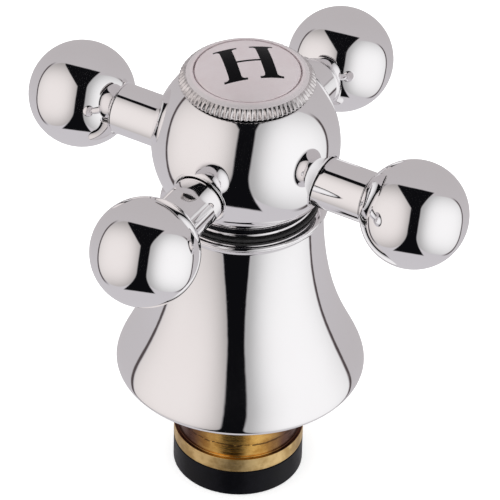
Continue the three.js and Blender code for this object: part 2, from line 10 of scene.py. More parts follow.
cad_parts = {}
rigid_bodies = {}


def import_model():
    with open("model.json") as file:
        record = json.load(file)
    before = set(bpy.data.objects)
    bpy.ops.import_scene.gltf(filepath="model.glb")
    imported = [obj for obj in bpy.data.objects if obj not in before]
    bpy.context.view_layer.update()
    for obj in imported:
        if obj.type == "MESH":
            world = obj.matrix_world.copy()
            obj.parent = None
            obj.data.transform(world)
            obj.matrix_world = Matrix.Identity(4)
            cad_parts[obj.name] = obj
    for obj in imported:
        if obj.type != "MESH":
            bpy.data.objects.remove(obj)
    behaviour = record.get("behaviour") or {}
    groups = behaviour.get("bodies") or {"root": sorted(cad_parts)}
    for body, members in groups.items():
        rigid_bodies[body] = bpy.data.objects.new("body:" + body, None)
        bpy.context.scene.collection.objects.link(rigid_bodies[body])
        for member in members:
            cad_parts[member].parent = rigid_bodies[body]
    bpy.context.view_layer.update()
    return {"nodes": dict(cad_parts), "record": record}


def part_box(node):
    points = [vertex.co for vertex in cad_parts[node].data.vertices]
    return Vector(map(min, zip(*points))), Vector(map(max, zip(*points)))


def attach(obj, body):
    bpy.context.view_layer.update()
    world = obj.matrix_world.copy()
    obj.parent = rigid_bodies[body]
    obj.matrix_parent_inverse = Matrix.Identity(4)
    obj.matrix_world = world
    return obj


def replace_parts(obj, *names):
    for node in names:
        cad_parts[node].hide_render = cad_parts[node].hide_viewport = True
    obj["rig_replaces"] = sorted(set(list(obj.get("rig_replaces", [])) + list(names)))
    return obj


bl_info = {
    "name": "Cross-Handle Tap Head",
    "version": (1, 0, 0),
    "blender": (4, 5, 0),
    "location": "View3D > Sidebar > Tap Head",
    "description": "Builds the fine surfaces, finishes and studio of a cross-handle tap head",
    "category": "Add Mesh",
}

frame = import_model()

MM = 0.001
SPIN_STEPS = 128
ARM_STEPS = 96
BALL_STEPS = 144
DISC_STEPS = 96
SHARP_ANGLE = math.radians(40)
MERGE = 1e-7
TOOL_MARK = 10.4 * MM  # height of the groove that a tool left on the brass neck; painted shade darkens it
SHADED_FLANKS_TURN = math.radians(-15)  # turn of the camera's right: the neck's flanks across this view get painted shade
FIXED = "headwork"
TURNING = "turning_handle"
ARMS = 4

# The room, laid out as it shows on a polished ball: -1 to 1 across and up. Pairs are (left, right).
ROOM_LEAN = math.radians(7)
PANEL_CENTRE_X = (-0.40, 0.44)
PANEL_CENTRE_Y = (-0.09, -0.13)
PANEL_HALF_WIDTH = (0.405, 0.42)
PANEL_HALF_HEIGHT = (0.585, 0.52)
PANEL_SQUARENESS = (2.15, 2.55)
GAP_HALF_WIDTH = 0.088
GAP_HEAD_FLARE = (0.284, 0.230)
GAP_HEAD_BEND = (1.0, 1.5)
GAP_HEAD_SPAN = (0.10, 0.46)
GAP_FOOT_FLARE = 0.21
GAP_FOOT_BEND = 2.0
GAP_FOOT_SPAN = (-0.36, -0.72)
GAP_TOP = 0.455
GAP_TOP_SLOPE = -0.09
GAP_BOTTOM = (-0.715, -0.695)
OUTLINE_INNER = (0.98, 1.03)
OUTLINE_OUTER = (1.14, 1.09)
OUTLINE_SIDES = (0.52, 0.68)
SIDE_SHIFT = -0.06  # the right side is measured from this much nearer to the middle
GLOW_CENTRE = (0.5, -0.13)
GLOW_SIZE = (0.44, 0.6)
GAP_BLACK = (0.004, 0.004, 0.005)
OUTLINE_DARK = (0.045, 0.03, 0.03)


# ---- Sizes taken from the frame ---------------------------------------------------------


def low(node):
    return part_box(node)[0].z


def high(node):
    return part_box(node)[1].z


def middle(node):
    return (low(node) + high(node)) / 2


def radius(node):
    """Half of a round node's width across X."""
    lowest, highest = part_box(node)
    return (highest.x - lowest.x) / 2


def length(name, description, default):
    """A size property in metres, given in millimetres."""
    return bpy.props.FloatProperty(
        name=name, description=description, default=default * MM, unit="LENGTH", precision=5
    )


def lean(name, description, default):
    """An angle property in radians."""
    return bpy.props.FloatProperty(
        name=name, description=description, default=default, subtype="ANGLE"
    )


def colour(name, description, default):
    return bpy.props.FloatVectorProperty(
        name=name, description=description, default=default, subtype="COLOR", size=3, min=0, max=1
    )


class ShroudSizes(bpy.types.PropertyGroup):
    rim: length("Rim radius", "Widest radius of the shroud's rim", 21.05)
    neck: length("Neck radius", "Radius just under the top bead", 13.23)
    wall: length("Wall", "Thickness of the spun wall", 1.6)
    bead: length("Bead radius", "Widest radius of the top bead", 14.0)
    bead_height: length("Bead height", "Height of the top bead", 0.75)
    cove: length("Cove", "Radius of the hollow under the bead", 1.3)
    lip: length("Lip radius", "Radius of the flat on top of the bead", 13.0)
    rim_round: length("Rim round", "Radius rolled on the outside of the rim", 1.0)
    rim_land: length("Rim land", "Width of the flat under the rim", 0.9)
    neck_pull: length("Neck pull", "How far the flare keeps the neck's direction", 20.3)
    rim_pull: length("Rim pull", "How far the flare keeps the rim's direction", 4.155)
    neck_lean: lean("Neck lean", "Lean of the flare where it leaves the neck", 0.022)
    rim_lean: lean("Rim lean", "Lean of the flare where it meets the rim's round", 0.177)
    web_depth: length("Web depth", "From the top down to the web's upper face", 8.8)
    web_height: length("Web height", "Thickness of the web that the nut clamps", 3.2)
    web_bore: length("Web bore", "Radius of the hole through the web", 8.15)


class BodySizes(bpy.types.PropertyGroup):
    flange_height: length("Flange height", "Height of the flange at the foot", 2.7)
    neck: length("Neck radius", "Radius of the neck above the flange", 10.5)
    column: length("Column radius", "Radius of the column above the hexagon", 9.4)
    gland: length("Gland radius", "Radius of the gland at the top", 8.0)
    bore: length("Shaft bore", "Radius of the bore that the spindle turns in", 4.5)
    chamber: length("Chamber radius", "Radius of the chamber that holds the discs", 7.65)
    throat: length("Throat radius", "Radius of the chamber above the discs", 6.7)
    hex_flats: length("Across flats", "Width of the hexagon across its flats", 22.0)
    hex_height: length("Hexagon height", "Height of the hexagon", 5.4)
    pitch: length("Thread pitch", "Pitch of the pipe thread on the neck", 1.8)
    thread_depth: length("Thread depth", "Depth of the pipe thread", 0.9)
    thread_height: length("Thread height", "Length of the pipe thread", 5.4)
    window_width: length("Window width", "Width of the outlet windows", 7.6)
    window_height: length("Window height", "Height of the outlet windows", 3.4)


class HandleSizes(bpy.types.PropertyGroup):
    sphere: length("Hub radius", "Radius of the hub's sphere", 15.62)
    centre_rise: length("Hub centre", "Middle of the sphere above the collar's foot", 10.75)
    collar: length("Collar radius", "Radius of the collar under the sphere", 12.0)
    collar_height: length("Collar height", "Height of the thin collar", 0.55)
    groove: length("Groove radius", "Radius in the groove above the collar", 11.0)
    skirt: length("Skirt", "Height at which the sphere begins", 2.2)
    crown: length("Crown radius", "Radius of the flat on top of the sphere", 10.6)
    mouth: length("Mouth radius", "Radius of the opening under the collar", 9.5)
    arm: length("Arm radius", "Radius of the straight arm", 4.35)
    arm_start: length("Arm start", "Where the arm leaves its recess, from the spindle", 13.6)
    recess: length("Recess radius", "Radius of the recess round each arm", 4.6)
    boss: length("Boss radius", "Radius of the low boss round each recess", 4.95)
    boss_rise: length("Boss rise", "How far the boss stands out of the sphere", 0.12)
    ball: length("Ball radius", "Radius of the ball ends", 9.0)
    reach: length("Ball reach", "Middle of the balls, from the spindle", 31.7)


class CapSizes(bpy.types.PropertyGroup):
    height: length("Cap height", "From the cap's underside up to its land", 2.12)
    land: length("Land radius", "Outer radius of the land round the inset disc", 9.1)
    shoulder: length("Shoulder radius", "Radius where the sloping shoulder meets the ribs", 10.1)
    shoulder_drop: length("Shoulder drop", "From the land down to the start of the ribs", 0.5)
    edge_drop: length("Edge drop", "From the land down to the cap's widest edge", 1.65)
    teeth: bpy.props.IntProperty(
        name="Teeth", description="Ribs round the knurled shoulder", default=80, min=12
    )
    tooth_depth: length("Tooth depth", "Depth of the knurling", 0.34)
    groove: length("Groove", "Width of the seam round the inset disc", 0.3)
    rise: length("Dome rise", "Height of the inset disc's dome", 1.77)
    letter_width: length("Letter width", "Width of the letter", 9.85)
    letter_height: length("Letter height", "Height of the letter", 9.2)
    stem: length("Stem", "Width of the letter's thick stems", 2.0)
    serif: length("Serif", "Width of the letter's serifs", 3.85)
    serif_height: length("Serif height", "Thickness of the letter's serifs", 0.42)
    bar: length("Bar", "Thickness of the letter's crossbar", 0.4)
    bracket: length("Bracket", "Radius where a serif runs into its stem", 0.6)
    shift_x: length("Letter shift X", "How far the letter sits towards +X", 0.2)
    shift_y: length("Letter shift Y", "How far the letter sits towards +Y", 0.4)
    turn: lean("Letter turn", "How far the letter is turned on the disc", math.radians(-2))


class StudioSettings(bpy.types.PropertyGroup):
    azimuth: lean("Azimuth", "Camera's turn round the tap", math.radians(-15.43))
    elevation: lean("Elevation", "Camera's height above the horizon", math.radians(37.29))
    roll: lean("Roll", "Camera's turn about its own view", math.radians(1.5))
    distance: length("Distance", "From the camera to the aim point", 799.7)
    aim: length("Aim height", "Height on the spindle that the camera looks at", 46.4)
    left_panel: colour("Left panel", "Warm light of the left panel", (0.88, 0.83, 0.815))
    right_panel: colour("Right panel", "Cool light of the right panel", (1.0, 0.995, 1.0))
    panel_edge: bpy.props.FloatProperty(
        name="Panel edge", description="Brightness at a panel's edge against its middle",
        default=0.44, min=0, max=1,
    )
    room_above: colour("Room above", "Grey of the room above the panels", (0.50, 0.472, 0.48))
    room_below: colour("Room below", "Grey of the room below the panels", (0.59, 0.57, 0.595))
    floor: colour("Floor", "Pale floor", (0.95, 0.95, 0.95))


# ---- Mesh helpers -----------------------------------------------------------------------


def arc(centre, size, start, end, steps):
    """Points (radius, height) of an arc, with its angles in degrees."""
    points = []
    for step in range(steps + 1):
        angle = math.radians(start + (end - start) * step / steps)
        points.append((centre[0] + size * math.cos(angle), centre[1] + size * math.sin(angle)))
    return points


def spun(profile, steps=SPIN_STEPS):
    """A bmesh of (radius, height) points turned about Z. A profile off the axis closes on itself."""
    bm = bmesh.new()
    corners = [bm.verts.new((across, 0, up)) for across, up in profile]
    edges = [bm.edges.new(pair) for pair in zip(corners, corners[1:])]
    if profile[0][0] > MERGE:
        edges.append(bm.edges.new((corners[-1], corners[0])))
    bmesh.ops.spin(
        bm, geom=corners + edges, axis=(0, 0, 1), cent=(0, 0, 0), dvec=(0, 0, 0),
        angle=2 * math.pi, steps=steps, use_merge=True,
    )
    bmesh.ops.remove_doubles(bm, verts=bm.verts, dist=MERGE)
    bmesh.ops.recalc_face_normals(bm, faces=bm.faces)
    return bm


def sector(inner, outer, foot, top, start, sweep, steps):
    """A block between two radii, from one angle about Z through a sweep, both in degrees."""
    bm = bmesh.new()
    corners = ((inner, foot), (outer, foot), (outer, top), (inner, top))
    face = bm.faces.new([bm.verts.new((across, 0, up)) for across, up in corners])
    turn = Matrix.Rotation(math.radians(start), 3, "Z")
    bmesh.ops.rotate(bm, cent=(0, 0, 0), matrix=turn, verts=bm.verts)
    bmesh.ops.spin(
        bm, geom=[face], axis=(0, 0, 1), cent=(0, 0, 0), dvec=(0, 0, 0),
        angle=math.radians(sweep), steps=steps,
    )
    bmesh.ops.recalc_face_normals(bm, faces=bm.faces)
    return bm


def soften(bm, width, segments=3, least=32):
    """Bevels every edge that turns by more than the least angle, in degrees."""
    sharp = [
        edge for edge in bm.edges
        if len(edge.link_faces) == 2 and edge.calc_face_angle() > math.radians(least)
    ]
    bmesh.ops.bevel(
        bm, geom=sharp, offset=width, offset_type="OFFSET", segments=segments,
        profile=0.5, affect="EDGES", clamp_overlap=True, material=-1,
    )
    return bm


def arm_turn(index):
    return Matrix.Rotation(2 * math.pi / ARMS * (index + 0.5), 4, "Z")


def along_arm(bm, index):
    """Turns a shape made along Z to lie on one arm's axis."""
    lift = Matrix.Translation((0, 0, middle(f"ball_end_{index + 1}")))
    level = Matrix.Rotation(math.pi / 2, 4, "Y")
    bmesh.ops.transform(bm, matrix=lift @ (arm_turn(index) @ level), verts=bm.verts)
    return bm


def thing_of(name, bm):
    """Turns a bmesh into an object in the scene."""
    mesh = bpy.data.meshes.new(name)
    bm.to_mesh(mesh)
    bm.free()
    thing = bpy.data.objects.new(name, mesh)
    bpy.context.scene.collection.objects.link(thing)
    return thing


def piece(name, bm, body, nodes, slot):
    """Makes the object, with smooth faces, that stands for the named nodes on a body."""
    thing = thing_of(name, bm)
    thing.data.shade_smooth()
    thing.data.set_sharp_from_angle(angle=SHARP_ANGLE)
    thing.data.materials.append(FINISHES[slot])
    even = thing.modifiers.new("Even shading", "WEIGHTED_NORMAL")
    even.keep_sharp = True
    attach(thing, body)
    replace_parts(thing, *nodes)
    return thing


def carve(thing, tool, operation="DIFFERENCE"):
    """Cuts an object by a bmesh or another object, applies the cut and removes the tool."""
    if isinstance(tool, bmesh.types.BMesh):
        tool = thing_of("cutter", tool)
    modifier = thing.modifiers.new("Carve", "BOOLEAN")
    modifier.operation = operation
    modifier.solver = "EXACT"
    modifier.object = tool
    thing.modifiers.move(len(thing.modifiers) - 1, 0)
    with bpy.context.temp_override(object=thing, active_object=thing):
        bpy.ops.object.modifier_apply(modifier=modifier.name)
    bpy.data.objects.remove(tool)
    thing.data.set_sharp_from_angle(angle=SHARP_ANGLE)


# ---- Node helpers and shared effects ------------------------------------------------------


def wire(tree, value, socket):
    """Sets a socket to a number, or links it when the value is another socket."""
    if isinstance(value, bpy.types.NodeSocket):
        tree.links.new(value, socket)
    else:
        socket.default_value = value


def maths(tree, operation, *values):
    node = tree.nodes.new("ShaderNodeMath")
    node.operation = operation
    for value, socket in zip(values, node.inputs):
        wire(tree, value, socket)
    return node.outputs[0]


def ramp(tree, value, start, end, low_value=0.0, high_value=1.0, kind="SMOOTHSTEP"):
    """Runs from one value to another between two limits, softly unless told otherwise."""
    node = tree.nodes.new("ShaderNodeMapRange")
    node.interpolation_type = kind
    for given, socket in zip((value, start, end, low_value, high_value), node.inputs):
        wire(tree, given, socket)
    return node.outputs[0]


def blend(tree, amount, first, second):
    """Mixes two colours."""
    node = tree.nodes.new("ShaderNodeMix")
    node.data_type = "RGBA"
    wire(tree, amount, node.inputs[0])
    for given, socket in ((first, node.inputs[6]), (second, node.inputs[7])):
        wire(tree, given if isinstance(given, bpy.types.NodeSocket) else (*given, 1), socket)
    return node.outputs[2]


def noise(tree, place, scale, detail=2.0, roughness=0.5):
    node = tree.nodes.new("ShaderNodeTexNoise")
    wire(tree, place, node.inputs["Vector"])
    wire(tree, scale, node.inputs["Scale"])
    wire(tree, detail, node.inputs["Detail"])
    wire(tree, roughness, node.inputs["Roughness"])
    return node.outputs["Fac"]


def place_on(tree):
    """The place on the object itself, so that a pattern stays with its piece."""
    return tree.nodes.new("ShaderNodeTexCoord").outputs["Object"]


def apart(tree, place):
    """The X, Y and Z of a place."""
    node = tree.nodes.new("ShaderNodeSeparateXYZ")
    tree.links.new(place, node.inputs[0])
    return node.outputs


def axis_distance_squared(tree, place):
    x, y = apart(tree, place)[:2]
    return maths(tree, "ADD", maths(tree, "POWER", x, 2.0), maths(tree, "POWER", y, 2.0))


def turned_across(tree, first, second, angle):
    """The first of two coordinates after a turn that brings the second towards it."""
    return maths(
        tree, "ADD",
        maths(tree, "MULTIPLY", first, math.cos(angle)),
        maths(tree, "MULTIPLY", second, math.sin(angle)),
    )


def effect(name, inputs, outputs):
    """An empty node group with float inputs and outputs, and its two end nodes."""
    tree = bpy.data.node_groups.new(name, "ShaderNodeTree")
    for label, default in inputs:
        socket = tree.interface.new_socket(label, in_out="INPUT", socket_type="NodeSocketFloat")
        socket.default_value = default
    for label in outputs:
        tree.interface.new_socket(label, in_out="OUTPUT", socket_type="NodeSocketFloat")
    return tree, tree.nodes.new("NodeGroupInput"), tree.nodes.new("NodeGroupOutput")


def make_handling_effect():
    """Faint cloudiness and hairline marks that a handled, polished surface picks up."""
    tree, given, result = effect(
        "Handling Marks", [("Cloud Scale", 90.0), ("Hairline Scale", 900.0)],
        ["Cloud", "Hairlines"],
    )
    place = place_on(tree)
    stretch = tree.nodes.new("ShaderNodeMapping")
    stretch.inputs["Rotation"].default_value = (0.6, 0.9, 0.3)
    stretch.inputs["Scale"].default_value = (1, 0.04, 1)
    tree.links.new(place, stretch.inputs["Vector"])
    hair = noise(tree, stretch.outputs["Vector"], given.outputs["Hairline Scale"], 1.0)
    cloud = noise(tree, place, given.outputs["Cloud Scale"], 3.0)
    tree.links.new(cloud, result.inputs["Cloud"])
    tree.links.new(ramp(tree, hair, 0.66, 0.74), result.inputs["Hairlines"])
    return tree


def make_turning_effect():
    """Fine rings left by a lathe tool, by distance from the spindle and by height."""
    tree, given, result = effect("Turned Rings", [("Rings", 4000.0), ("Waver", 0.3)], ["Height"])
    place = place_on(tree)
    across = maths(tree, "SQRT", axis_distance_squared(tree, place))
    together = tree.nodes.new("ShaderNodeCombineXYZ")
    tree.links.new(across, together.inputs["X"])
    tree.links.new(apart(tree, place)["Z"], together.inputs["Z"])
    rings = noise(tree, together.outputs[0], given.outputs["Rings"], 4.0, given.outputs["Waver"])
    tree.links.new(rings, result.inputs["Height"])
    return tree


def use(tree, group, **values):
    """Puts a shared effect into a finish and sets its inputs."""
    node = tree.nodes.new("ShaderNodeGroup")
    node.node_tree = group
    for label, value in values.items():
        node.inputs[label.replace("_", " ")].default_value = value
    return node.outputs


def finish_of(name, metallic, specular=0.5):
    """A new material, its node tree and its Principled shader."""
    material = bpy.data.materials.new(name)
    material.use_nodes = True
    shader = material.node_tree.nodes["Principled BSDF"]
    shader.inputs["Metallic"].default_value = metallic
    shader.inputs["Specular IOR Level"].default_value = specular
    return material, material.node_tree, shader


def coat(tree, shader, tint, rough, height, depth, strength=0.5):
    """Feeds a finish's colour, roughness and relief into its shader."""
    relief = tree.nodes.new("ShaderNodeBump")
    relief.inputs["Distance"].default_value = depth
    relief.inputs["Strength"].default_value = strength
    tree.links.new(height, relief.inputs["Height"])
    tree.links.new(tint, shader.inputs["Base Color"])
    tree.links.new(rough, shader.inputs["Roughness"])
    tree.links.new(relief.outputs["Normal"], shader.inputs["Normal"])


# ---- Finishes -----------------------------------------------------------------------------


def chrome_plate():
    """Mirror chrome with a trace of waviness from the polishing under it."""
    material, tree, shader = finish_of("Polished Chrome Plate", 1.0)
    marks = use(tree, EFFECTS["handling"], Cloud_Scale=140.0, Hairline_Scale=700.0)
    tint = blend(tree, marks["Cloud"], (0.93, 0.915, 0.92), (0.955, 0.95, 0.96))
    rough = maths(
        tree, "MULTIPLY_ADD", marks["Hairlines"], 0.03,
        ramp(tree, marks["Cloud"], 0.3, 0.75, 0.028, 0.05),
    )
    coat(tree, shader, tint, rough, marks["Cloud"], 0.04 * MM)
    return material


def satin_chrome():
    """Satin chrome with a fine matt grain, for the cap's top; painted shade greys the sloping
    shoulder at its edge.
    """
    material, tree, shader = finish_of("Satin Chrome", 0.86)
    place = place_on(tree)
    grain = noise(tree, place, 5200.0, 2.0, 0.6)
    broad = noise(tree, place, 260.0, 3.0, 0.6)
    # painted shade: darker, greyer metal from 9.2 to 9.6 mm out, on the sloping shoulder
    shoulder_shade = ramp(tree, axis_distance_squared(tree, place), (9.2 * MM) ** 2, (9.6 * MM) ** 2)
    tint = blend(tree, ramp(tree, broad, 0.3, 0.7), (0.96, 0.885, 0.90), (0.99, 0.93, 0.945))
    tint = blend(tree, maths(tree, "MULTIPLY", shoulder_shade, 0.75), tint, (0.88, 0.85, 0.86))
    coat(tree, shader, tint, ramp(tree, grain, 0.3, 0.7, 0.52, 0.68), grain, 0.02 * MM)
    return material


def knurled_chrome():
    """Plated knurling: half bright, with dull grime settled between the ribs."""
    material, tree, shader = finish_of("Knurled Chrome", 1.0)
    grime = ramp(tree, noise(tree, place_on(tree), 900.0, 3.0, 0.6), 0.35, 0.7)
    tint = blend(tree, grime, (0.82, 0.79, 0.79), (0.58, 0.555, 0.555))
    coat(tree, shader, tint, ramp(tree, grime, 0.0, 1.0, 0.16, 0.3), grime, 0.03 * MM)
    return material


def polished_brass():
    """Turned and polished brass: rings from the tool and random toning, with painted shade on the
    flanks across the camera's view and a painted dark line of shade along the tool groove.
    """
    material, tree, shader = finish_of("Polished Brass", 1.0)
    place = place_on(tree)
    x, y, z = apart(tree, place)
    toning = ramp(tree, noise(tree, place, 330.0, 5.0, 0.65), 0.4, 0.68)
    tint = blend(tree, toning, (1.0, 0.60, 0.17), (0.60, 0.30, 0.06))
    # painted shade: the neck's flanks, as seen from the camera, darken to a deep brown, with a noisy
    # edge
    across = turned_across(tree, x, y, SHADED_FLANKS_TURN)
    flank = maths(tree, "ABSOLUTE", maths(tree, "DIVIDE", across, 10.5 * MM))
    patchy = maths(tree, "MULTIPLY_ADD", noise(tree, place, 260.0, 3.0, 0.6), 0.3, -0.15)
    painted_flank_shade = ramp(tree, maths(tree, "ADD", flank, patchy), 0.22, 0.78)
    flank_shaded = blend(tree, painted_flank_shade, tint, (0.11, 0.045, 0.028))
    # painted shade: a broken near-black line laid along the tool groove at TOOL_MARK
    wander = maths(tree, "MULTIPLY_ADD", noise(tree, place, 700.0, 3.0, 0.6), 0.7 * MM, -0.35 * MM)
    mark = maths(tree, "ADD", maths(tree, "SUBTRACT", z, TOOL_MARK), wander)
    line = maths(
        tree, "MULTIPLY",
        ramp(tree, maths(tree, "ABSOLUTE", mark), 0.2 * MM, 0.08 * MM),
        ramp(tree, noise(tree, place, 1300.0), 0.38, 0.5),
    )
    groove_shaded = blend(tree, maths(tree, "MULTIPLY", line, 0.85), flank_shaded, (0.05, 0.022, 0.012))
    rings = use(tree, EFFECTS["turning"], Rings=3600.0, Waver=0.5)["Height"]
    coat(tree, shader, groove_shaded, ramp(tree, rings, 0.3, 0.7, 0.2, 0.32), rings, 0.02 * MM, 0.6)
    return material


def turned_brass():
    """Brass as it leaves the lathe, paler and duller than the polished neck."""
    material, tree, shader = finish_of("Turned Brass", 1.0)
    rings = use(tree, EFFECTS["turning"], Rings=2600.0, Waver=0.6)["Height"]
    toning = ramp(tree, noise(tree, place_on(tree), 420.0, 3.0, 0.6), 0.35, 0.7)
    tint = blend(tree, toning, (0.80, 0.58, 0.27), (0.52, 0.34, 0.13))
    coat(tree, shader, tint, ramp(tree, rings, 0.3, 0.7, 0.32, 0.5), rings, 0.04 * MM, 0.8)
    return material


def spring_steel():
    """Bright stainless for the screw, washers and clip."""
    material, tree, shader = finish_of("Spring Steel", 1.0)
    marks = use(tree, EFFECTS["handling"], Cloud_Scale=300.0, Hairline_Scale=1800.0)
    tint = blend(tree, marks["Cloud"], (0.55, 0.56, 0.57), (0.68, 0.69, 0.70))
    lines = marks["Hairlines"]
    coat(tree, shader, tint, ramp(tree, lines, 0.0, 1.0, 0.25, 0.45), lines, 0.01 * MM)
    return material


def black_rubber():
    """Moulded rubber with a soft bloom and a very fine pebble."""
    material, tree, shader = finish_of("Black Rubber", 0.0, specular=0.12)
    place = place_on(tree)
    bloom = ramp(tree, noise(tree, place, 320.0, 4.0, 0.65), 0.35, 0.75)
    tint = blend(tree, bloom, (0.001, 0.001, 0.0025), (0.003, 0.003, 0.006))
    pebble = noise(tree, place, 3800.0, 3.0, 0.6)
    coat(tree, shader, tint, ramp(tree, bloom, 0.0, 1.0, 0.36, 0.46), pebble, 0.03 * MM, 0.6)
    return material


def black_enamel():
    """Half-gloss enamel that fills the letter."""
    material, tree, shader = finish_of("Black Enamel", 0.0, specular=0.07)
    flow = noise(tree, place_on(tree), 900.0)
    tint = blend(tree, flow, (0.001, 0.001, 0.0015), (0.003, 0.003, 0.004))
    coat(tree, shader, tint, ramp(tree, flow, 0.3, 0.7, 0.22, 0.34), flow, 0.03 * MM)
    return material


def white_ceramic():
    """Lapped alumina, with faint specks in an even white body."""
    material, tree, shader = finish_of("White Ceramic", 0.0)
    specks = ramp(tree, noise(tree, place_on(tree), 2600.0), 0.6, 0.8)
    tint = blend(tree, specks, (0.88, 0.87, 0.84), (0.70, 0.69, 0.66))
    coat(tree, shader, tint, ramp(tree, specks, 0.0, 1.0, 0.12, 0.25), specks, 0.01 * MM, 0.3)
    return material


def black_nylon():
    """Moulded nylon with a matt, slightly uneven skin."""
    material, tree, shader = finish_of("Black Nylon", 0.0)
    skin = noise(tree, place_on(tree), 1500.0, 3.0, 0.6)
    tint = blend(tree, skin, (0.012, 0.012, 0.013), (0.03, 0.03, 0.031))
    coat(tree, shader, tint, ramp(tree, skin, 0.3, 0.7, 0.4, 0.55), skin, 0.03 * MM)
    return material


EFFECTS = {}
FINISHES = {}


def make_finishes():
    EFFECTS["handling"] = make_handling_effect()
    EFFECTS["turning"] = make_turning_effect()
    for maker in (
        chrome_plate, satin_chrome, knurled_chrome, polished_brass, turned_brass, spring_steel,
        black_rubber, black_enamel, white_ceramic, black_nylon,
    ):
        FINISHES[maker.__name__] = maker()


# ---- Pieces -------------------------------------------------------------------------------


class TAP_OT_shroud(bpy.types.Operator):
    """Spin the flared shroud with its bead, web and rolled rim"""
    bl_idname = "tap.make_shroud"
    bl_label = "Shroud"

    def execute(self, context):
        size = context.scene.tap_shroud
        foot, top = low("shroud"), high("shroud")
        bead_foot = top - size.bead_height
        rim_centre = (size.rim - size.rim_round, foot + size.rim_round)
        rim = arc(rim_centre, size.rim_round, -90, math.degrees(size.rim_lean), 10)
        cove_end = 115
        cove_foot = bead_foot - size.cove * math.sin(math.radians(cove_end))
        cove = arc((size.neck + size.cove, cove_foot), size.cove, 180, cove_end, 10)
        flare = self.flare(size, Vector((size.neck, cove_foot, 0)), Vector((*rim[-1], 0)))
        roll = 0.36 * MM
        bead = arc((size.bead - roll, bead_foot + 0.38 * MM), roll, -45, 90, 8)
        bore = size.neck - size.wall
        web_top = top - size.web_depth
        web_foot = web_top - size.web_height
        inside = [(across - size.wall, up) for across, up in flare if up < web_foot - size.wall]
        profile = [
            (rim_centre[0] - size.rim_land, foot), *rim, *flare[1:], *cove[1:], *bead,
            (size.lip, top), (bore, top), (bore, web_top), (size.web_bore, web_top),
            (size.web_bore, web_foot), (bore, web_foot), *reversed(inside),
        ]
        bm = soften(spun(profile), 0.12 * MM)
        piece("shroud_bell", bm, FIXED, ["shroud"], "chrome_plate")
        return {"FINISHED"}

    def flare(self, size, start, end):
        """Points (radius, height) of the flare, from the rim up to the neck."""
        down_neck = Vector((math.sin(size.neck_lean), -math.cos(size.neck_lean), 0))
        down_rim = Vector((math.sin(size.rim_lean), -math.cos(size.rim_lean), 0))
        curve = interpolate_bezier(
            start, start + size.neck_pull * down_neck, end - size.rim_pull * down_rim, end, 56
        )
        return [(point.x, point.y) for point in reversed(curve)]


